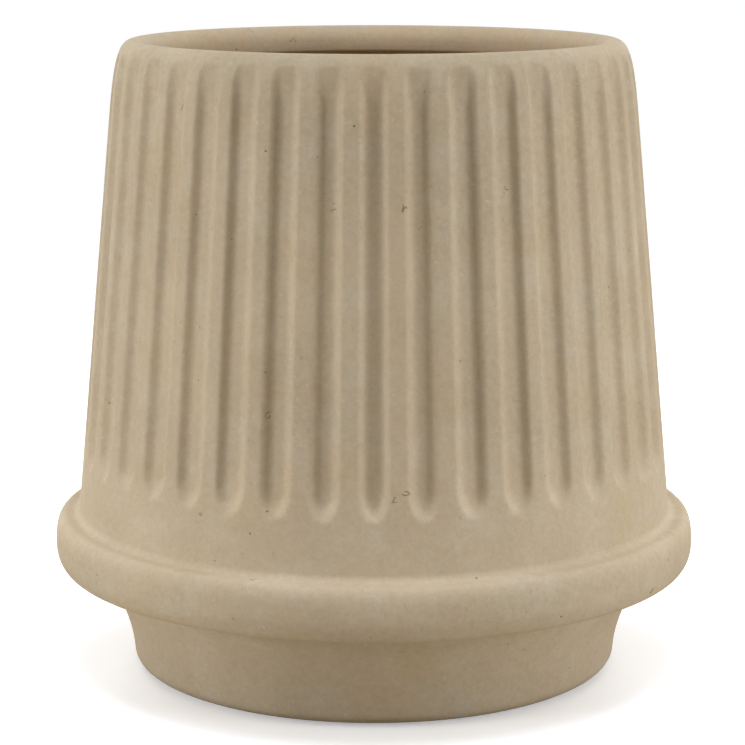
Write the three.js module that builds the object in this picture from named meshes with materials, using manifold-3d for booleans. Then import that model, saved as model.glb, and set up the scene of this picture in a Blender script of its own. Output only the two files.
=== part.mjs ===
// Garden pot: a tapered, fluted wall with a rolled rim, on a round collar and a waisted foot.
// Millimetres, +Z up. The origin is on the pot's axis, at the level that its pads stand on.

import * as THREE from "three";
import { mergeVertices } from "three/addons/utils/BufferGeometryUtils.js";
import Module from "manifold-3d";

const wasm = await Module();
wasm.setup();

// Collar: the round band that is the widest part of the pot
const collarDiameter = 239.7;
const collarLowerHeight = 8.2;
const collarUpperHeight = 11.3;
const collarEdgeReach = 5;
const collarLowerFullness = 2;
const collarUpperFullness = 2.8;
const collarCoveRadius = 3;

// Foot: a hollow-sided skirt below the collar
const footDiameter = 182.4;
const footTopDiameter = 208.6;
const footHeight = 37.9;
const footEdgeRound = 4.75;
const footLean = 0.075;
const footRingWidth = 18;
const footRingChamfer = 1.5;
const recessDepth = 4;

// Wall and rolled rim
const shellHeight = 232.8;
const collarOverhang = 8.7;
const wallTaper = 5.455;
const wallThickness = 9;
const shoulderHeight = 26.9;
const shoulderRise = 19.6;
const crestInset = 6.3;
const crestReach = 5.2;
const lipDepth = 10;
const lipRoundReach = 5.6;
const lipRoundHeight = 5.8;

// Flutes: hollows down the wall, round at the lower end above a plain band, and running out
// through the shoulder at the upper end, where they get wider and shallower
const fluteCount = 40;
const fluteShare = 0.79;
const fluteDepth = 2.6;
const fluteFloorPower = 4;
const fluteEdgePower = 4;
const fluteLowEndLength = 12;
const plainBandHeight = 18.6;
const flareShare = 1.08;
const flareDepth = 1.9;
const flareHeight = 14;
const flareBelowCrest = 3.8;
const flareAboveCrest = 2;

// Floor and drain hole
const floorThickness = 10;
const floorCoveRadius = 8;
const drainDiameter = 20;
const seatDiameter = 33.4;
const seatDepth = 3;

// Rubber drain plug
const plugClearance = 0.3;
const plugStemLength = 9;
const plugStemTaper = 1.2;
const plugStemChamfer = 1;
const plugFlangeThickness = 3;
const plugFlangeRound = 1;
const plugNeckDiameter = 7;
const plugNeckHeight = 4;
const plugKnobDiameter = 12;
const plugKnobHeight = 5;

// Rubber pads in shallow sockets under the foot ring
const padCount = 4;
const padDiameter = 14;
const padThickness = 2;
const padSocketDepth = 1;
const padClearance = 0.3;
const padFirstAngle = 45;

// Fineness of the round surfaces
const outsideSteps = 2 * fluteCount;
const insideSteps = fluteCount;
const drainSteps = 20;
const padSteps = 16;
const fluteEndSteps = 3;
const fluteStations = [0, 0.42, 0.6, 0.78, 1];
const roundingSteps = 2;
const footSideSteps = 4;
const collarLowerSteps = 3;
const collarUpperSteps = 4;
const shoulderSteps = 6;
const insideCurveSteps = 4;
const lipSteps = 3;
const knobSteps = 6;
const samePointDistance = 1e-4;

const degrees = Math.PI / 180;

// Levels and radii that follow from the sizes above
const baseLevel = padThickness - padSocketDepth;
const undersideLevel = baseLevel + recessDepth;
const floorLevel = undersideLevel + floorThickness;
const seatLevel = floorLevel - seatDepth;
const collarLowLevel = baseLevel + footHeight;
const collarWidestLevel = collarLowLevel + collarLowerHeight;
const collarTopLevel = collarWidestLevel + collarUpperHeight;
const crestLevel = baseLevel + shellHeight;
const lipLowLevel = crestLevel - lipDepth;
const shoulderLevel = crestLevel - shoulderHeight;
const collarRadius = collarDiameter / 2;
const footRadius = footDiameter / 2;
const footRingInnerRadius = footRadius - footEdgeRound - footRingWidth;
const wallSlope = Math.tan(wallTaper * degrees);
const wallRadius = (level) => collarRadius - collarOverhang - wallSlope * (level - collarTopLevel);
const crestRadius = wallRadius(crestLevel) - crestInset;
const lipRadius = crestRadius - lipRoundReach;

// Points on a quarter of an oval whose fullness is 2 for an ellipse and more for a squarer edge.
function ovalPoints(centre, reach, height, fromAngle, toAngle, steps, fullness = 2) {
  const points = [];
  for (let step = 0; step <= steps; step += 1) {
    const angle = (fromAngle + ((toAngle - fromAngle) * step) / steps) * degrees;
    const across = Math.cos(angle);
    const up = Math.sin(angle);
    const x = Math.sign(across) * Math.abs(across) ** (2 / fullness);
    const y = Math.sign(up) * Math.abs(up) ** (2 / fullness);
    points.push(new THREE.Vector2(centre.x + reach * x, centre.y + height * y));
  }
  return points;
}

const at = (radius, level) => new THREE.Vector2(radius, level);

// Section of the shell as a full body, with no hollow: underside, foot, collar, wall and rim.
function outsideSection() {
  const bottomEdge = ovalPoints(at(footRadius - footEdgeRound, baseLevel + footEdgeRound),
    footEdgeRound, footEdgeRound, -90, 0, roundingSteps);
  const footStart = at(footRadius, baseLevel + footEdgeRound);
  const footEnd = at(footTopDiameter / 2, collarLowLevel);
  const footMiddleLevel = (footStart.y + footEnd.y) / 2;
  const footBend = at(footRadius + footLean * (footMiddleLevel - footStart.y), footMiddleLevel);
  const footSide = new THREE.QuadraticBezierCurve(footStart, footBend, footEnd)
    .getPoints(footSideSteps);

  const collarCentre = at(collarRadius - collarEdgeReach, collarWidestLevel);
  const collarLower = ovalPoints(collarCentre, collarEdgeReach, collarLowerHeight, -90, 0,
    collarLowerSteps, collarLowerFullness);
  const collarUpper = ovalPoints(collarCentre, collarEdgeReach, collarUpperHeight, 0, 90,
    collarUpperSteps, collarUpperFullness);

  const coveLevel = collarTopLevel + collarCoveRadius;
  const coveEndLevel = coveLevel - collarCoveRadius * Math.sin(wallTaper * degrees);
  const coveCentre = at(
    wallRadius(coveEndLevel) + collarCoveRadius * Math.cos(wallTaper * degrees), coveLevel);
  const collarCove = ovalPoints(coveCentre, collarCoveRadius, collarCoveRadius,
    270, 180 + wallTaper, roundingSteps);

  const shoulderStart = at(wallRadius(shoulderLevel), shoulderLevel);
  const shoulderLeave = at(
    shoulderStart.x - shoulderRise * Math.sin(wallTaper * degrees),
    shoulderLevel + shoulderRise * Math.cos(wallTaper * degrees));
  const crest = at(crestRadius, crestLevel);
  const crestArrive = at(crestRadius + crestReach, crestLevel);
  const shoulder = new THREE.CubicBezierCurve(shoulderStart, shoulderLeave, crestArrive, crest)
    .getPoints(shoulderSteps);

  return [
    at(0, undersideLevel),
    at(footRingInnerRadius, undersideLevel),
    at(footRingInnerRadius, baseLevel + footRingChamfer),
    at(footRingInnerRadius + footRingChamfer, baseLevel),
    ...bottomEdge,
    ...footSide.slice(1),
    ...collarLower,
    ...collarUpper.slice(1),
    ...collarCove,
    ...shoulder,
    at(0, crestLevel),
  ];
}

// Section of the hollow: floor, well, inside of the wall, and the lip that overhangs it.
function insideSection() {
  const insideRadius = (level) => wallRadius(level) - wallThickness;
  const insideLowLevel = collarTopLevel + collarCoveRadius;
  const wellRadius = footRadius - wallThickness;
  const wellLevel = floorLevel + floorCoveRadius;
  const insideBend = (insideLowLevel - wellLevel) / 2;
  const floorCove = ovalPoints(at(wellRadius - floorCoveRadius, wellLevel),
    floorCoveRadius, floorCoveRadius, -90, 0, roundingSteps);
  const insideCurve = new THREE.CubicBezierCurve(
    at(wellRadius, wellLevel),
    at(wellRadius, wellLevel + insideBend),
    at(insideRadius(insideLowLevel - insideBend), insideLowLevel - insideBend),
    at(insideRadius(insideLowLevel), insideLowLevel)).getPoints(insideCurveSteps);
  const lipRound = ovalPoints(at(crestRadius, crestLevel - lipRoundHeight),
    lipRoundReach, lipRoundHeight, 180, 90, lipSteps);
  return [
    at(0, floorLevel),
    ...floorCove,
    ...insideCurve.slice(1),
    at(insideRadius(lipLowLevel), lipLowLevel),
    at(lipRadius, lipLowLevel),
    ...lipRound,
    at(crestRadius, crestLevel + lipDepth),
    at(0, crestLevel + lipDepth),
  ];
}

// A geometry as a manifold solid: only its positions count, and equal points are shared.
function toSolid(geometry) {
  const bare = new THREE.BufferGeometry();
  bare.setAttribute("position", geometry.getAttribute("position"));
  if (geometry.index) bare.setIndex(geometry.index);
  const merged = mergeVertices(bare, samePointDistance);
  const corners = [];
  const index = merged.index.array;
  for (let i = 0; i < index.length; i += 3) {
    const [a, b, c] = [index[i], index[i + 1], index[i + 2]];
    if (a !== b && b !== c && c !== a) corners.push(a, b, c);
  }
  return new wasm.Manifold(new wasm.Mesh({
    numProp: 3,
    vertProperties: new Float32Array(merged.getAttribute("position").array),
    triVerts: new Uint32Array(corners),
  }));
}

function toGeometry(solid) {
  const mesh = solid.getMesh();
  const geometry = new THREE.BufferGeometry();
  geometry.setAttribute("position", new THREE.BufferAttribute(mesh.vertProperties, 3));
  geometry.setIndex(new THREE.BufferAttribute(mesh.triVerts, 1));
  geometry.computeVertexNormals();
  return geometry;
}

// A section of (radius, level) points turned about the Z axis.
function turned(section, steps) {
  return new THREE.LatheGeometry(section, steps).rotateX(Math.PI / 2);
}

// An upright plug of material, used to cut round holes.
function roundCutter(diameter, lowLevel, highLevel, steps) {
  const cutter = new THREE.CylinderGeometry(diameter / 2, diameter / 2, highLevel - lowLevel, steps);
  return cutter.rotateX(Math.PI / 2).translate(0, 0, (lowLevel + highLevel) / 2);
}

// How deep a flute is, as a share of its full depth, at a share of the way to its edge: nearly flat
// in the middle, steep beside it, and rounded over into the land between two flutes.
function fluteFall(share) {
  return (1 - share ** fluteFloorPower) ** fluteEdgePower;
}

// One flute cutter, centred on the -Y side. Rows of points cross the flute. At the lower end they
// fan out round the end's centre, so that the end has the flute's own section. The upper rows
// widen up to the flare, and the last one lies above the crest.
function fluteCutter() {
  const lowCentre = collarTopLevel + plainBandHeight + fluteLowEndLength;
  const flareLevel = crestLevel - flareBelowCrest;
  const rows = [];
  for (let step = 0; step <= fluteEndSteps; step += 1) {
    const fan = (-90 + (90 * step) / fluteEndSteps) * degrees;
    const rise = Math.sin(fan) * fluteLowEndLength;
    rows.push({ level: lowCentre, rise, width: Math.cos(fan) * fluteShare, depth: fluteDepth });
  }
  rows.push({ level: flareLevel - flareHeight, rise: 0, width: fluteShare, depth: fluteDepth });
  rows.push({ level: flareLevel, rise: 0, width: flareShare, depth: flareDepth });
  rows.push({ level: crestLevel + flareAboveCrest, rise: 0, width: flareShare, depth: flareDepth });
  const shares = fluteStations;
  const across = [...shares.slice(1).reverse().map((share) => -share), ...shares];

  const halfPitch = (180 * degrees) / fluteCount;
  const lidHeight = fluteDepth;
  const positions = [];
  for (const top of [false, true]) {
    for (const row of rows) {
      for (const share of across) {
        const level = row.level + Math.abs(share) * row.rise;
        const turnAngle = share * row.width * halfPitch;
        const out = top ? lidHeight : -row.depth * fluteFall(Math.abs(share));
        const radius = wallRadius(level) + out;
        positions.push(radius * Math.sin(turnAngle), -radius * Math.cos(turnAngle), level);
      }
    }
  }

  const width = across.length;
  const layer = width * rows.length;
  const index = [];
  const quad = (a, b, c, d) => index.push(a, b, c, a, c, d);
  for (let i = 0; i < rows.length - 1; i += 1) {
    for (let j = 0; j < width - 1; j += 1) {
      const a = i * width + j;
      quad(a + width, a + width + 1, a + 1, a);
      quad(a + layer, a + layer + 1, a + layer + width + 1, a + layer + width);
    }
    const left = i * width;
    const right = left + width - 1;
    quad(left, left + layer, left + layer + width, left + width);
    quad(right + width, right + width + layer, right + layer, right);
  }
  for (let j = 0; j < width - 1; j += 1) {
    const a = (rows.length - 1) * width + j;
    quad(a, a + layer, a + layer + 1, a + 1);
  }
  const cutter = new THREE.BufferGeometry();
  cutter.setAttribute("position", new THREE.Float32BufferAttribute(positions, 3));
  cutter.setIndex(index);
  return cutter;
}

function padPlace(number) {
  const angle = (padFirstAngle + (360 * number) / padCount) * degrees;
  const radius = footRingInnerRadius + (footRingChamfer + footRingWidth) / 2;
  return [radius * Math.cos(angle), radius * Math.sin(angle)];
}

function potShell() {
  let shell = toSolid(turned(outsideSection(), outsideSteps));
  const flute = fluteCutter();
  const cutters = [toSolid(turned(insideSection(), insideSteps))];
  for (let number = 0; number < fluteCount; number += 1) {
    cutters.push(toSolid(flute.clone().rotateZ((2 * Math.PI * number) / fluteCount)));
  }
  cutters.push(toSolid(roundCutter(drainDiameter, baseLevel, floorLevel, drainSteps)));
  cutters.push(toSolid(
    roundCutter(seatDiameter, seatLevel, floorLevel + seatDepth, drainSteps)));
  for (let number = 0; number < padCount; number += 1) {
    const [x, y] = padPlace(number);
    const socket = roundCutter(padDiameter + 2 * padClearance, baseLevel - padSocketDepth,
      baseLevel + padSocketDepth, padSteps);
    cutters.push(toSolid(socket.translate(x, y, 0)));
  }
  for (const cutter of cutters) shell = shell.subtract(cutter);
  return toGeometry(shell);
}

// The plug hangs by its flange on the seat round the drain hole, and its stem fills the hole.
function drainPlug() {
  const stemRadius = drainDiameter / 2 - plugClearance;
  const flangeRadius = seatDiameter / 2 - plugClearance;
  const stemEnd = seatLevel - plugStemLength;
  const flangeTop = seatLevel + plugFlangeThickness;
  const neckTop = flangeTop + plugNeckHeight;
  const knobMiddle = neckTop + plugKnobHeight / 2;
  const section = [
    at(0, stemEnd),
    at(stemRadius - plugStemTaper - plugStemChamfer, stemEnd),
    at(stemRadius - plugStemTaper, stemEnd + plugStemChamfer),
    at(stemRadius, seatLevel),
    at(flangeRadius, seatLevel),
    ...ovalPoints(at(flangeRadius - plugFlangeRound, flangeTop - plugFlangeRound),
      plugFlangeRound, plugFlangeRound, 0, 90, roundingSteps),
    at(plugNeckDiameter / 2, flangeTop),
    at(plugNeckDiameter / 2, neckTop),
    ...ovalPoints(at(plugNeckDiameter / 2, knobMiddle),
      (plugKnobDiameter - plugNeckDiameter) / 2, plugKnobHeight / 2, -90, 90,
      knobSteps).slice(1),
    at(0, knobMiddle + plugKnobHeight / 2),
  ];
  return toGeometry(toSolid(turned(section, drainSteps)));
}

function footPad() {
  const pad = new THREE.CylinderGeometry(padDiameter / 2, padDiameter / 2, padThickness, padSteps);
  return pad.rotateX(Math.PI / 2).translate(0, 0, padThickness / 2);
}

const stoneware = new THREE.MeshStandardMaterial({ color: 0xb2a184, roughness: 0.9, metalness: 0 });
const rubber = new THREE.MeshStandardMaterial({ color: 0x2b2a28, roughness: 0.75, metalness: 0 });

function piece(name, geometry, material) {
  const mesh = new THREE.Mesh(geometry, material);
  mesh.name = name;
  return mesh;
}

const pot = new THREE.Group();
pot.add(piece("pot_shell", potShell(), stoneware));
pot.add(piece("drain_plug", drainPlug(), rubber));
for (let number = 0; number < padCount; number += 1) {
  const pad = piece(`foot_pad_${number + 1}`, footPad(), rubber);
  const [x, y] = padPlace(number);
  pad.position.set(x, y, 0);
  pot.add(pad);
}

export default pot;
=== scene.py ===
# A fluted stoneware plant pot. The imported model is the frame. Its pieces are remade here with smooth
# curves, and each gets its material. Sizes of the pieces are in millimetres until add_piece makes
# metres of them. Materials, lamps and camera are in metres.
import math

import bpy
import numpy as np
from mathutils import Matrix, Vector
from mathutils.geometry import delaunay_2d_cdt


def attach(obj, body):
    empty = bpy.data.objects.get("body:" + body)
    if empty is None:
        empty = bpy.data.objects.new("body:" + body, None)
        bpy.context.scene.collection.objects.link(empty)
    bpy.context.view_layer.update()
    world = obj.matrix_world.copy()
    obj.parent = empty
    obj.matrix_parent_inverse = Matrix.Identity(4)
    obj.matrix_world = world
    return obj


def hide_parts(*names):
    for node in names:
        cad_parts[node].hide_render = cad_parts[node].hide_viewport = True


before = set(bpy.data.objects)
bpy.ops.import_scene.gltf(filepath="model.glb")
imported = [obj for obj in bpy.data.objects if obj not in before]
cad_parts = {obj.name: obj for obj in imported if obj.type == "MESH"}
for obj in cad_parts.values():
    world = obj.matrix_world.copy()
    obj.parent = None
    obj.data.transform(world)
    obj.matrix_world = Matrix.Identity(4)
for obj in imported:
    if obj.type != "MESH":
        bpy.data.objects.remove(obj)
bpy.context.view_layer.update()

PER_METRE = 1000

# Foot: a hollow-sided skirt below the collar, with a recess and a flat ring under it
BASE = 1.0
UNDERSIDE = 5.0
FOOT_RADIUS = 91.2
FOOT_TOP_RADIUS = 104.3
FOOT_EDGE = 4.75
FOOT_LEAN = 0.075
RING_WIDTH = 18.0
RING_CHAMFER = 1.5
RECESS_ROUND = 1.0
RING_INNER_RADIUS = FOOT_RADIUS - FOOT_EDGE - RING_WIDTH

# Collar: the round band that is the widest part of the pot, and the cove above it
COLLAR_RADIUS = 119.85
COLLAR_LOW = 38.9
COLLAR_WIDEST = 47.1
COLLAR_TOP = 58.4
COLLAR_REACH = 5.0
COLLAR_FULLNESS = 2.8
COLLAR_OVERHANG = 8.7
COVE = 3.0

# Wall, shoulder and rolled rim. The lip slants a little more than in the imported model.
TAPER = math.radians(5.455)
WALL = 9.0
SHOULDER = 206.9
SHOULDER_RISE = 19.6
CREST = 233.8
CREST_INSET = 6.3
CREST_REACH = 5.2
LIP_LOW = 223.8
LIP_REACH = 5.6
LIP_SLANT = 0.25
LIP_HEIGHT = 7.0
LIP_EDGE = 0.8

# Flutes. Shares and stations are parts of half the pitch, from the middle of a flute to the middle
# of the land. FLUTE_MEET softens the line where the shoulder ends a flute.
FLUTES = 40
FLUTE_SHARE = 0.79
FLUTE_DEPTH = 2.6
FLUTE_LOW_TIP = 77.0
FLUTE_LOW_END = 12.0
FLUTE_FLOOR_POWER = 4
FLUTE_EDGE_POWER = 4
FLUTE_MEET = 0.1
FLARE_START = 216.0
FLARE_END = 230.0
FLARE_SHARE = 1.08
FLARE_DEPTH = 1.9
FLUTE_STATIONS = (0, 0.1, 0.2, 0.3, 0.39, 0.47, 0.55, 0.63, 0.71, 0.8, 0.9, 1)

# Floor, drain hole and the plug's seat
POT_FLOOR = 15.0
FLOOR_COVE = 8.0
SEAT = 12.0
SEAT_RADIUS = 16.7
SEAT_EDGE = 0.5
DRAIN_RADIUS = 10.0
DRAIN_EDGE = 0.4

# Rubber pads in shallow sockets, in the middle of the foot ring
PADS = 4
PAD_FIRST_ANGLE = 45
PAD_RADIUS = 7.0
PAD_THICKNESS = 2.0
PAD_ROUND = 0.6
PAD_CHAMFER = 0.2
PAD_DIMPLE = 0.25
SOCKET_RADIUS = 7.3
SOCKET_DEPTH = 1.0
PAD_RING_RADIUS = RING_INNER_RADIUS + (RING_CHAMFER + RING_WIDTH) / 2

# Fineness of the meshes. A ring along the flutes has a whole multiple of the coarse ring's points.
COARSE_POINTS = 220
SOCKET_POINTS = 40
PLUG_POINTS = 96
PAD_POINTS = 64
SHARP_ANGLE = math.radians(38)


def wall_radius(level):
    """Outer radius of the straight wall, without its flutes."""
    return COLLAR_RADIUS - COLLAR_OVERHANG - math.tan(TAPER) * (level - COLLAR_TOP)


def inside_radius(level):
    return wall_radius(level) - WALL


CREST_RADIUS = wall_radius(CREST) - CREST_INSET


def oval(centre, reach, height, start, end, steps, fullness=2.0):
    """Points on a stretch of an oval, squarer where fullness is over 2."""
    points = []
    for step in range(steps + 1):
        angle = math.radians(start + (end - start) * step / steps)
        across, up = math.cos(angle), math.sin(angle)
        x = math.copysign(abs(across) ** (2 / fullness), across)
        y = math.copysign(abs(up) ** (2 / fullness), up)
        points.append((centre[0] + reach * x, centre[1] + height * y))
    return points


def arc(centre, radius, start, end, steps):
    return oval(centre, radius, radius, start, end, steps)


def curve(points, steps):
    """A Bezier curve through its first and last control points."""
    degree = len(points) - 1
    out = []
    for step in range(steps + 1):
        t = step / steps
        x = y = 0.0
        for k, point in enumerate(points):
            weight = math.comb(degree, k) * (1 - t) ** (degree - k) * t ** k
            x += weight * point[0]
            y += weight * point[1]
        out.append((x, y))
    return out


def wall_points(low, high, count):
    """Points up the straight wall, without the first, which ends the stretch below."""
    return [(wall_radius(level), level) for level in np.linspace(low, high, count)[1:]]


def outside_section():
    """From the foot's bottom edge up to the crest of the rim."""
    foot_edge = (FOOT_RADIUS - FOOT_EDGE, BASE + FOOT_EDGE)
    foot_start = (FOOT_RADIUS, BASE + FOOT_EDGE)
    foot_middle = (foot_start[1] + COLLAR_LOW) / 2
    foot_bend = (FOOT_RADIUS + FOOT_LEAN * (foot_middle - foot_start[1]), foot_middle)
    points = arc(foot_edge, FOOT_EDGE, -90, 0, 8)
    points += curve([foot_start, foot_bend, (FOOT_TOP_RADIUS, COLLAR_LOW)], 12)[1:]

    collar = (COLLAR_RADIUS - COLLAR_REACH, COLLAR_WIDEST)
    points += oval(collar, COLLAR_REACH, COLLAR_WIDEST - COLLAR_LOW, -90, 0, 12)
    points += oval(collar, COLLAR_REACH, COLLAR_TOP - COLLAR_WIDEST, 0, 90, 16, COLLAR_FULLNESS)[1:]
    cove_level = COLLAR_TOP + COVE
    cove_end = cove_level - COVE * math.sin(TAPER)
    cove = (wall_radius(cove_end) + COVE * math.cos(TAPER), cove_level)
    points += arc(cove, COVE, 270, 180 + math.degrees(TAPER), 7)

    # Closer together at the flutes' round lower ends
    ends_low = FLUTE_LOW_TIP - 1
    ends_high = FLUTE_LOW_TIP + FLUTE_LOW_END + 2
    points += wall_points(cove_end, ends_low, 4)
    points += wall_points(ends_low, ends_high, 28)
    points += wall_points(ends_high, SHOULDER, 8)

    start = (wall_radius(SHOULDER), SHOULDER)
    leave = (start[0] - SHOULDER_RISE * math.sin(TAPER), SHOULDER + SHOULDER_RISE * math.cos(TAPER))
    arrive = (CREST_RADIUS + CREST_REACH, CREST)
    points += curve([start, leave, arrive, (CREST_RADIUS, CREST)], 46)[1:]
    return points


def inside_section():
    """From the rim over the lip, the floor, the plug's seat and the drain hole to the foot ring."""
    lip = CREST_RADIUS - LIP_REACH
    lip_back = inside_radius(LIP_LOW)
    points = oval((CREST_RADIUS, CREST - LIP_HEIGHT), LIP_REACH - LIP_SLANT, LIP_HEIGHT, 90, 178, 12)[1:]
    points += arc((lip + LIP_EDGE, LIP_LOW + LIP_EDGE), LIP_EDGE, 180, 270, 3)
    points += arc((lip_back - LIP_EDGE, LIP_LOW - LIP_EDGE), LIP_EDGE, 90, 0, 3)

    # The hollow narrows from the wall to the well inside the foot
    low = COLLAR_TOP + COVE
    well = FOOT_RADIUS - WALL
    well_top = POT_FLOOR + FLOOR_COVE
    bend = (low - well_top) / 2
    above = (inside_radius(low - bend), low - bend)
    below = (well, well_top + bend)
    points += [(inside_radius(level), level) for level in np.linspace(LIP_LOW - 8, low, 6)]
    points += curve([(inside_radius(low), low), above, below, (well, well_top)], 14)[1:]
    points += arc((well - FLOOR_COVE, well_top), FLOOR_COVE, 0, -90, 6)[1:]

    seat_rim = SEAT_RADIUS + SEAT_EDGE
    drain_rim = DRAIN_RADIUS + DRAIN_EDGE
    points += [(radius, POT_FLOOR) for radius in np.linspace(well - FLOOR_COVE, seat_rim, 6)[1:]]
    points += arc((seat_rim, POT_FLOOR - SEAT_EDGE), SEAT_EDGE, 90, 180, 3)[1:]
    points += [(SEAT_RADIUS, SEAT), (drain_rim, SEAT), (DRAIN_RADIUS, SEAT - DRAIN_EDGE)]
    points += [(DRAIN_RADIUS, UNDERSIDE + DRAIN_EDGE), (drain_rim, UNDERSIDE)]

    recess = RING_INNER_RADIUS - RECESS_ROUND
    points += [(radius, UNDERSIDE) for radius in np.linspace(drain_rim, recess, 6)[1:]]
    points += arc((recess, UNDERSIDE - RECESS_ROUND), RECESS_ROUND, 90, 0, 3)[1:]
    points += [(RING_INNER_RADIUS, BASE + RING_CHAMFER), (RING_INNER_RADIUS + RING_CHAMFER, BASE)]
    return points


def flute_cut(turn, level):
    """Depth of the flutes below the straight wall at a turn from a flute's middle, as a share of the
    half pitch, and at a level. The lower end is round. The upper end gets wider and shallower and
    runs out through the shoulder."""
    flare = min(max((level - FLARE_START) / (FLARE_END - FLARE_START), 0), 1)
    width = FLUTE_SHARE + (FLARE_SHARE - FLUTE_SHARE) * flare
    depth = FLUTE_DEPTH + (FLARE_DEPTH - FLUTE_DEPTH) * flare
    past = max((FLUTE_LOW_TIP + FLUTE_LOW_END - level) / FLUTE_LOW_END, 0)
    share = np.minimum(1, np.hypot(turn / width, past))
    return depth * (1 - share ** FLUTE_FLOOR_POWER) ** FLUTE_EDGE_POWER


def fluted_radius(radius, level, turn):
    """Radius at each turn. A flute shows where its cut goes deeper than the shoulder has already
    moved in from the straight wall."""
    cut = flute_cut(turn, level) if level < CREST else np.zeros(len(turn))
    gap = max(wall_radius(level) - radius, 0.0)
    deeper = cut - gap
    soft = FLUTE_MEET * cut * gap / (cut + gap + 1e-9)
    return radius - (np.sqrt(deeper ** 2 + soft) + deeper) / 2


def ring_points(radius, level, azimuth):
    """Points on a level ring, from the front round. Radius is one value or one for each point."""
    radius = np.broadcast_to(radius, azimuth.shape)
    heights = np.full(azimuth.shape, level)
    return np.stack([radius * np.sin(azimuth), -radius * np.cos(azimuth), heights], 1)


def shell_rings():
    """Coarse rings up to the flutes and on the inside, and fine rings along the flutes."""
    half = np.array(FLUTE_STATIONS)
    pitch = np.concatenate([half[:-1], 2 - half[:0:-1]])
    fine = np.concatenate([(2 * flute + pitch) * math.pi / FLUTES for flute in range(FLUTES)])
    turn = np.tile(np.minimum(pitch, 2 - pitch), FLUTES)
    coarse = np.arange(COARSE_POINTS) * 2 * math.pi / COARSE_POINTS
    rings = []
    for radius, level in outside_section():
        if level < FLUTE_LOW_TIP:
            rings.append(ring_points(radius, level, coarse))
        else:
            rings.append(ring_points(fluted_radius(radius, level, turn), level, fine))
    return rings + [ring_points(radius, level, coarse) for radius, level in inside_section()]


def faces_between(rings):
    """Quads join rings of the same kind, and longer faces join a coarse ring to a fine one."""
    faces = []
    start = 0
    for low, high in zip(rings, rings[1:]):
        top = start + len(low)
        count = min(len(low), len(high))
        low_step, high_step = len(low) // count, len(high) // count
        for k in range(count):
            lower = [start + (k * low_step + j) % len(low) for j in range(low_step + 1)]
            upper = [top + (k * high_step + j) % len(high) for j in range(high_step, -1, -1)]
            faces.append(lower + upper)
        start = top
    return faces


def pad_centre(number):
    angle = math.radians(PAD_FIRST_ANGLE + 360 * number / PADS)
    return PAD_RING_RADIUS * math.cos(angle), PAD_RING_RADIUS * math.sin(angle)


def add_socket(rings, faces, centre):
    """Side and roof of one pad socket. Gives its rim: the points and their numbers in the mesh."""
    around = np.arange(SOCKET_POINTS) * 2 * math.pi / SOCKET_POINTS
    rim = np.array(centre) + SOCKET_RADIUS * np.stack([np.cos(around), np.sin(around)], 1)
    first = sum(len(ring) for ring in rings)
    edge = list(range(first, first + SOCKET_POINTS))
    roof = list(range(first + SOCKET_POINTS, first + 2 * SOCKET_POINTS))
    for level in (BASE, BASE + SOCKET_DEPTH):
        rings.append(np.column_stack([rim, np.full(SOCKET_POINTS, level)]))
    for j in range(SOCKET_POINTS):
        after = (j + 1) % SOCKET_POINTS
        faces.append([edge[j], roof[j], roof[after], edge[after]])
    faces.append(roof[::-1])
    return rim, edge


def flat_faces(loops):
    """Triangles of the foot ring's flat. Each loop has its points and their numbers in the mesh. The
    first is the outer edge, the second the inner edge, and the others are the sockets' rims."""
    flat, numbers, outlines = [], [], []
    for points, loop_numbers in loops:
        outline = list(range(len(flat), len(flat) + len(points)))
        outlines.append(outline[::-1] if flat else outline)
        flat += [Vector(point[:2]) for point in points]
        numbers += loop_numbers
    corners, _, triangles, origins, _, _ = delaunay_2d_cdt(flat, [], outlines, 1, 1e-5)

    # The triangles that fill the ring's hole and the sockets are left out
    hole_reach = (RING_INNER_RADIUS + RING_CHAMFER) * math.cos(math.pi / COARSE_POINTS)
    socket_reach = SOCKET_RADIUS * math.cos(math.pi / SOCKET_POINTS)
    centres = [Vector(pad_centre(number)) for number in range(PADS)]
    faces = []
    for triangle in triangles:
        middle = sum((corners[i] for i in triangle), Vector((0, 0))) / len(triangle)
        in_socket = any((middle - centre).length < socket_reach for centre in centres)
        if middle.length >= hole_reach and not in_socket:
            faces.append([numbers[origins[i][0]] for i in reversed(triangle)])
    return faces


def add_piece(name, points, faces):
    """A smooth object that keeps its sharp corners, from points in millimetres."""
    mesh = bpy.data.meshes.new(name)
    mesh.from_pydata((np.array(points) / PER_METRE).tolist(), [], faces)
    mesh.validate()
    mesh.shade_smooth()
    mesh.set_sharp_from_angle(angle=SHARP_ANGLE)
    piece = bpy.data.objects.new(name, mesh)
    bpy.context.scene.collection.objects.link(piece)
    return piece


def build_shell():
    rings = shell_rings()
    faces = faces_between(rings)
    count = sum(len(ring) for ring in rings)
    outer = (rings[0], list(range(COARSE_POINTS)))
    inner = (rings[-1], list(range(count - COARSE_POINTS, count)))
    rims = [add_socket(rings, faces, pad_centre(number)) for number in range(PADS)]
    faces += flat_faces([outer, inner] + rims)
    return add_piece("stoneware_shell", np.concatenate(rings), faces)


def turned(name, section, steps):
    """A section of (radius, level) points turned about the Z axis. Its ends lie on the axis."""
    around = np.arange(steps) * 2 * math.pi / steps
    points = []
    rings = []
    for radius, level in section:
        here = around if radius > 0 else around[:1]
        rings.append(list(range(len(points), len(points) + len(here))))
        points += [(radius * math.cos(angle), radius * math.sin(angle), level) for angle in here]
    faces = []
    for low, high in zip(rings, rings[1:]):
        for k in range(steps):
            after = (k + 1) % steps
            lower = [low[k % len(low)], low[after % len(low)]]
            upper = [high[after % len(high)], high[k % len(high)]]
            faces.append(list(dict.fromkeys(lower + upper)))
    return add_piece(name, points, faces)


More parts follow.
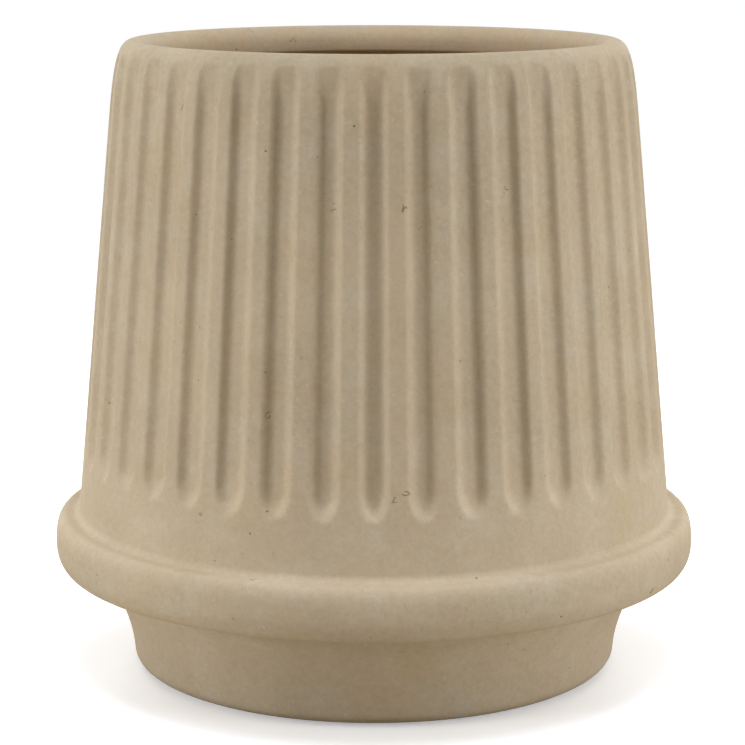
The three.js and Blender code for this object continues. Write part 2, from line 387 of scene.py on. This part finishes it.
def plug_section():
    """The drain plug, with its levels written from the seat up."""
    stem = [(0, -9), (4, -9)] + arc((7.3, -7.8), 1.2, 270, 360, 6) + [(8.75, -6), (9.1, -4)]
    bead = [(9.1, -3.6), (9.55, -3.2), (9.6, -2.2), (9.2, -1.8), (9.3, -0.4), (9.7, 0)]
    flange = arc((16.0, 0.4), 0.4, 270, 360, 3) + arc((15.4, 2.0), 1.0, 0, 90, 7)
    groove = [(12.5, 3.0), (12.2, 2.75), (11.4, 2.75), (11.1, 3.0)]
    neck = arc((4.7, 4.2), 1.2, 270, 180, 6) + [(3.5, 6.9)]
    knob = arc((3.5, 9.5), 2.5, 270, 450, 20) + [(2.6, 11.95), (0, 11.95)]
    return [(radius, SEAT + level) for radius, level in stem + bead + flange + groove + neck + knob]


def pad_section():
    """A rubber pad with a shallow dimple below, a round lower edge and a chamfered upper one."""
    dimple = [(0, PAD_DIMPLE), (3.6, PAD_DIMPLE), (4.0, 0.0)]
    edge = arc((PAD_RADIUS - PAD_ROUND, PAD_ROUND), PAD_ROUND, 270, 360, 6)
    top = [(PAD_RADIUS, PAD_THICKNESS - PAD_CHAMFER), (PAD_RADIUS - PAD_CHAMFER, PAD_THICKNESS)]
    return dimple + edge + top + [(0, PAD_THICKNESS)]


def srgb(r, g, b):
    return tuple(((v / 255 + 0.055) / 1.055) ** 2.4 for v in (r, g, b))


# Colours of the clay, its marks, the painted light inside the pot, and the rubber
CLAY = srgb(185, 168, 142)
# The inside's and the lip's colours are lighter and warmer than the clay: painted light, as if bounced
# inside the pot
INSIDE_PAINTED_LIGHT = srgb(210, 184, 148)
LIP_PAINTED_LIGHT = srgb(199, 175, 143)
PALE_CLOUD = srgb(191, 177, 155)
WARM_CLOUD = srgb(186, 165, 134)
FLECK = srgb(205, 193, 171)
SMUDGE = srgb(150, 131, 104)
SPECK = srgb(66, 52, 36)
FIBRE = srgb(84, 66, 46)
PLUG_RUBBER = srgb(46, 45, 42)
PAD_RUBBER = srgb(40, 39, 37)
BLOOM = 1.7

# Where the painted light on the inside begins: two straight lines of radius against height
WALL_LINE_RADIUS = 0.1104
WALL_LINE_FALL = 0.0955
FOOT_LINE_RADIUS = 0.0865
FOOT_LINE_RISE = 0.3
PAINTED_LIGHT_EDGE = 0.006
LIP_TINT_START = 0.217
LIP_TINT_END = 0.227


class Graph:
    """Short ways to add nodes to one tree."""

    def __init__(self, tree):
        self.nodes, self.links = tree.nodes, tree.links

    def put(self, socket, value):
        if isinstance(value, bpy.types.NodeSocket):
            self.links.new(value, socket)
        elif isinstance(value, tuple) and len(value) == 3 and len(socket.default_value) == 4:
            socket.default_value = (*value, 1)
        else:
            socket.default_value = value

    def math(self, operation, a, b=0.0):
        node = self.nodes.new("ShaderNodeMath")
        node.operation = operation
        self.put(node.inputs[0], a)
        self.put(node.inputs[1], b)
        return node.outputs[0]

    def glow(self, kind, strength):
        """A white emission or background."""
        node = self.nodes.new(kind)
        self.put(node.inputs["Color"], (1, 1, 1))
        self.put(node.inputs["Strength"], strength)
        return node.outputs[0]

    def mix_shaders(self, factor, first, second):
        node = self.nodes.new("ShaderNodeMixShader")
        for socket, value in zip(node.inputs, (factor, first, second)):
            self.put(socket, value)
        return node.outputs[0]

    def seen_directly(self):
        """1 for rays from the camera, mirror-like reflections and transmission, otherwise 0."""
        paths = self.nodes.new("ShaderNodeLightPath").outputs
        seen = self.math("MAXIMUM", paths["Is Camera Ray"], paths["Is Glossy Ray"])
        return self.math("MAXIMUM", seen, paths["Is Transmission Ray"])


class Look(Graph):
    """The nodes of one new material."""

    def __init__(self, name):
        self.material = bpy.data.materials.new(name)
        self.material.use_nodes = True
        super().__init__(self.material.node_tree)
        self.shader = self.nodes["Principled BSDF"]
        self.place = self.nodes.new("ShaderNodeTexCoord").outputs["Object"]

    def noise(self, scale, detail=2.0, rough=0.5, out="Fac"):
        node = self.nodes.new("ShaderNodeTexNoise")
        self.put(node.inputs["Vector"], self.place)
        for name, value in (("Scale", scale), ("Detail", detail), ("Roughness", rough)):
            self.put(node.inputs[name], value)
        return node.outputs[out]

    def cells(self, scale, place):
        """Distance to the nearest of many scattered points, and that point's random colour."""
        node = self.nodes.new("ShaderNodeTexVoronoi")
        self.put(node.inputs["Vector"], place)
        self.put(node.inputs["Scale"], scale)
        return node.outputs["Distance"], node.outputs["Color"]

    def vector(self, operation, a, b):
        node = self.nodes.new("ShaderNodeVectorMath")
        node.operation = operation
        self.put(node.inputs[0], a)
        self.put(node.inputs["Scale"] if operation == "SCALE" else node.inputs[1], b)
        return node.outputs[0]

    def spread(self, value, low, high, to_low=0.0, to_high=1.0):
        """Maps a range of values to another with soft ends."""
        node = self.nodes.new("ShaderNodeMapRange")
        node.interpolation_type = "SMOOTHSTEP"
        self.put(node.inputs["Value"], value)
        limits = {"From Min": low, "From Max": high, "To Min": to_low, "To Max": to_high}
        for name, limit in limits.items():
            self.put(node.inputs[name], limit)
        return node.outputs[0]

    def split(self, kind, whole):
        """The three channels of a colour or a position."""
        node = self.nodes.new(kind)
        self.put(node.inputs[0], whole)
        return node.outputs

    def mix(self, factor, a, b, blend="MIX"):
        node = self.nodes.new("ShaderNodeMix")
        node.data_type = "RGBA"
        node.blend_type = blend
        for socket, value in ((0, factor), (6, a), (7, b)):
            self.put(node.inputs[socket], value)
        return node.outputs[2]

    def shade(self, colour, value):
        """The colour times a grey value."""
        grey = self.nodes.new("ShaderNodeCombineColor")
        for k in range(3):
            self.put(grey.inputs[k], value)
        return self.mix(1.0, colour, grey.outputs[0], "MULTIPLY")

    def finish(self, colour, roughness, specular):
        self.put(self.shader.inputs["Base Color"], colour)
        self.put(self.shader.inputs["Roughness"], roughness)
        self.put(self.shader.inputs["Specular IOR Level"], specular)

    def bump(self, height, strength, distance):
        node = self.nodes.new("ShaderNodeBump")
        self.put(node.inputs["Height"], height)
        self.put(node.inputs["Strength"], strength)
        self.put(node.inputs["Distance"], distance)
        self.put(self.shader.inputs["Normal"], node.outputs[0])


def painted_inside_light_share(g, x, y, height):
    """How much painted light a point gets: 1 on the inside, from the middle of the rim inwards, and on
    the underside, otherwise 0.
    """
    radius = g.math("SQRT", g.math("ADD", g.math("POWER", x, 2.0), g.math("POWER", y, 2.0)))
    wall_line = g.math("SUBTRACT", WALL_LINE_RADIUS, g.math("MULTIPLY", height, WALL_LINE_FALL))
    foot_line = g.math("ADD", FOOT_LINE_RADIUS, g.math("MULTIPLY", height, FOOT_LINE_RISE))
    within = g.math("SUBTRACT", g.math("MINIMUM", wall_line, foot_line), radius)
    return g.spread(within, 0.0, PAINTED_LIGHT_EDGE)


def clouds(g, colour):
    """Pale, warm and dark clouds."""
    colour = g.mix(g.spread(g.noise(62, 6, 0.72), 0.46, 0.7, 0, 0.75), colour, PALE_CLOUD)
    colour = g.mix(g.spread(g.noise(38, 3), 0.52, 0.7, 0, 0.45), colour, WARM_CLOUD)
    return g.shade(colour, g.spread(g.noise(26, 4), 0.3, 0.7, 0.96, 1.02))


def height_light_and_shade(g, colour, height):
    """Painted light just above the collar and painted shade towards the rim."""
    low = g.math("MULTIPLY", g.spread(height, 0.05, 0.062), g.spread(height, 0.07, 0.11, 1, 0))
    tone = g.math("SUBTRACT", g.math("MULTIPLY", low, 0.06), g.spread(height, 0.16, 0.225, 0, 0.03))
    return g.shade(colour, g.math("ADD", tone, 1.0))


def mottling(g, colour, grain):
    """Grain, with pale flecks in some places and brown smudges in the others."""
    colour = g.shade(colour, g.spread(grain, 0.2, 0.8, 0.92, 1.07))
    where = g.spread(g.noise(95, 3, 0.6), 0.42, 0.68, 0.12, 1.0)
    fleck = g.spread(g.noise(560, 4, 0.75), 0.54, 0.72, 0, 0.6)
    colour = g.mix(g.math("MULTIPLY", fleck, where), colour, FLECK)
    smudge = g.spread(g.noise(340, 4, 0.75), 0.58, 0.74, 0, 0.3)
    return g.mix(g.math("MULTIPLY", smudge, g.spread(where, 0.1, 0.7, 1, 0)), colour, SMUDGE)


def specks(g):
    """Specks with ragged edges, one per cell, most of them tiny. Gives their places and strength."""
    ragged = g.vector("ADD", g.place, g.vector("SCALE", g.noise(1800, 2, 0.5, out="Color"), 0.0006))
    distance, random = g.cells(170, ragged)
    channels = g.split("ShaderNodeSeparateColor", random)
    size = g.math("MULTIPLY", g.math("POWER", channels[0], 2.5), 0.085)
    speck = g.spread(g.math("SUBTRACT", size, distance), -0.012, 0.02)
    return speck, g.spread(channels[1], 0.0, 1.0, 0.12, 0.95)


def fibres(g):
    """Short pieces of wandering lines."""
    line = g.math("ABSOLUTE", g.math("SUBTRACT", g.noise(230, 1.0), 0.5))
    distance, _ = g.cells(58, g.place)
    near = g.spread(distance, 0.075, 0.1, 1.0, 0.0)
    return g.math("MULTIPLY", g.spread(line, 0.006, 0.022, 1.0, 0.0), near)


def stoneware():
    """Matte sandy clay: soft clouds, mottled grain, small dark specks and short curled fibres, with
    painted light on the inside and painted light and shade by height.
    """
    g = Look("stoneware")
    x, y, height = g.split("ShaderNodeSeparateXYZ", g.place)
    # Painted light: the inside and the underside are lighter and warmer than the clay, and the lip's
    # inner face a little less so
    inside = g.mix(g.spread(height, LIP_TINT_START, LIP_TINT_END), INSIDE_PAINTED_LIGHT, LIP_PAINTED_LIGHT)
    colour = g.mix(painted_inside_light_share(g, x, y, height), CLAY, inside)
    grain = g.noise(420, 4, 0.8)
    colour = mottling(g, height_light_and_shade(g, clouds(g, colour), height), grain)
    speck, strength = specks(g)
    colour = g.mix(g.math("MULTIPLY", speck, strength), colour, SPECK)
    colour = g.mix(g.math("MULTIPLY", fibres(g), 0.6), colour, FIBRE)
    g.finish(colour, g.spread(g.noise(160, 3), 0.3, 0.7, 0.88, 0.96), 0.06)
    relief = g.math("ADD", g.math("MULTIPLY", g.noise(420, 3, 0.6), 0.6), g.math("MULTIPLY", grain, 0.4))
    g.bump(g.math("SUBTRACT", relief, g.math("MULTIPLY", speck, 0.3)), 0.35, 0.0004)
    return g.material


def rubber(name, colour, roughness):
    """Soft black-brown rubber with a faint bloom and a fine moulded grain."""
    g = Look(name)
    bloom = tuple(v * BLOOM for v in colour)
    cloud = g.spread(g.noise(140, 4, 0.6), 0.42, 0.75)
    wear = g.spread(g.noise(300, 3), 0.3, 0.7, roughness - 0.07, roughness + 0.07)
    g.finish(g.mix(cloud, colour, bloom), wear, 0.35)
    g.bump(g.noise(2400, 3, 0.6), 0.25, 0.00015)
    return g.material


shell = build_shell()
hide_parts("pot_shell")
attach(shell, "pot")
shell.data.materials.append(stoneware())

plug = turned("rubber_plug", plug_section(), PLUG_POINTS)
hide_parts("drain_plug")
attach(plug, "plug")
plug.data.materials.append(rubber("plug_rubber", PLUG_RUBBER, 0.55))

pad_rubber = rubber("pad_rubber", PAD_RUBBER, 0.72)
for number in range(PADS):
    pad = turned("rubber_pad_%d" % (number + 1), pad_section(), PAD_POINTS)
    x, y = pad_centre(number)
    pad.location = (x / PER_METRE, y / PER_METRE, 0)
    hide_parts("foot_pad_%d" % (number + 1))
    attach(pad, "pot")
    pad.data.materials.append(pad_rubber)

# Studio. The floor and the backdrop are white to the camera. The light that they send back to the pot
# is a plain warm grey.
FLOOR_REACH = 1.5
FLOOR_DROP = 0.0002
FLOOR_COLOUR = (0.5, 0.44, 0.34)
FLOOR_ROUGHNESS = 0.9
NEAR_GLOW = 0.35
FAR_GLOW = 1.1
FADE_START = 0.4
FADE_END = 0.9
FILL_COLOUR = (1, 0.84, 0.62)
FILL_STRENGTH = 0.07

# Softboxes: distance, width and height of each kind. They face a point inside the pot.
SMALL = (1.5, 0.5, 0.5)
TALL = (1.5, 0.5, 0.7)
LARGE = (4.0, 1.33, 1.87)
LAMP_COLOUR = (0.89, 0.935, 1.0)
LAMP_AIM = Vector((0, 0, 0.12))

# Camera, fitted to the outline in the photograph. The photograph's side, the focal length and the
# shifts are in pixels, and the sensor's width is in millimetres.
PHOTO_SIDE = 745
FOCAL_LENGTH = 2498.4
SHIFT_X = -1.45
SHIFT_Y = 0.45
SENSOR_WIDTH = 36
CAMERA_DISTANCE = 0.92187
CAMERA_HEIGHT = 0.28855
CAMERA_PITCH = 11.03


def floor_look():
    """Keeps the pot's shadow near the pot, and fades into the white backdrop further out."""
    g = Look("floor")
    g.put(g.shader.inputs["Base Color"], FLOOR_COLOUR)
    g.put(g.shader.inputs["Roughness"], FLOOR_ROUGHNESS)
    white = g.nodes.new("ShaderNodeBsdfDiffuse")
    g.put(white.inputs["Color"], (1, 1, 1))
    near = g.nodes.new("ShaderNodeAddShader")
    g.put(near.inputs[0], white.outputs[0])
    g.put(near.inputs[1], g.glow("ShaderNodeEmission", NEAR_GLOW))
    apart = g.nodes.new("ShaderNodeVectorMath")
    apart.operation = "LENGTH"
    g.put(apart.inputs[0], g.place)
    far = g.spread(apart.outputs["Value"], FADE_START, FADE_END)
    shown = g.mix_shaders(far, near.outputs[0], g.glow("ShaderNodeEmission", FAR_GLOW))
    surface = g.mix_shaders(g.seen_directly(), g.shader.outputs[0], shown)
    g.put(g.nodes["Material Output"].inputs["Surface"], surface)
    return g.material


def add_floor():
    mesh = bpy.data.meshes.new("floor")
    signs = ((-1, -1), (1, -1), (1, 1), (-1, 1))
    corners = [(x * FLOOR_REACH, y * FLOOR_REACH, -FLOOR_DROP) for x, y in signs]
    mesh.from_pydata(corners, [], [(0, 1, 2, 3)])
    floor = bpy.data.objects.new("floor", mesh)
    bpy.context.scene.collection.objects.link(floor)
    floor.data.materials.append(floor_look())


def add_backdrop():
    world = bpy.data.worlds.new("studio")
    bpy.context.scene.world = world
    world.use_nodes = True
    g = Graph(world.node_tree)
    fill = g.nodes["Background"]
    g.put(fill.inputs["Color"], FILL_COLOUR)
    g.put(fill.inputs["Strength"], FILL_STRENGTH)
    surface = g.mix_shaders(g.seen_directly(), fill.outputs[0], g.glow("ShaderNodeBackground", 1.0))
    g.put(g.nodes["World Output"].inputs["Surface"], surface)


def softbox(name, azimuth, elevation, kind, power):
    """A rectangular lamp that faces the pot. Azimuth 0 is the camera's side."""
    turn, rise = math.radians(azimuth), math.radians(elevation)
    distance, width, height = kind
    lamp = bpy.data.lights.new(name, "AREA")
    lamp.shape = "RECTANGLE"
    lamp.size = width
    lamp.size_y = height
    lamp.energy = power
    lamp.color = LAMP_COLOUR
    away = Vector((math.sin(turn) * math.cos(rise), -math.cos(turn) * math.cos(rise), math.sin(rise)))
    stand = bpy.data.objects.new(name, lamp)
    stand.location = LAMP_AIM + distance * away
    stand.rotation_euler = (-away).to_track_quat("-Z", "Y").to_euler()
    bpy.context.scene.collection.objects.link(stand)


def add_lamps():
    for side, sign in (("left", -1), ("right", 1)):
        softbox("side_" + side, sign * 70, 8, SMALL, 11.85)
        softbox("slope_" + side, sign * 70, 25, TALL, 2.0)
        softbox("high_" + side, sign * 70, 65, LARGE, 26.0)
        softbox("rear_" + side, sign * 150, 25, TALL, 9.0)
    softbox("top", 0, 78, LARGE, 80.5)


def add_camera():
    data = bpy.data.cameras.new("camera")
    data.sensor_width = SENSOR_WIDTH
    data.lens = FOCAL_LENGTH / PHOTO_SIDE * SENSOR_WIDTH
    data.shift_x = SHIFT_X / PHOTO_SIDE
    data.shift_y = SHIFT_Y / PHOTO_SIDE
    data.clip_start = 0.05
    camera = bpy.data.objects.new("camera", data)
    camera.location = (0, -CAMERA_DISTANCE, CAMERA_HEIGHT)
    camera.rotation_euler = (math.radians(90 - CAMERA_PITCH), 0, 0)
    bpy.context.scene.collection.objects.link(camera)
    bpy.context.scene.camera = camera


add_floor()
add_backdrop()
add_lamps()
add_camera()
bpy.context.scene.view_settings.view_transform = "Standard"
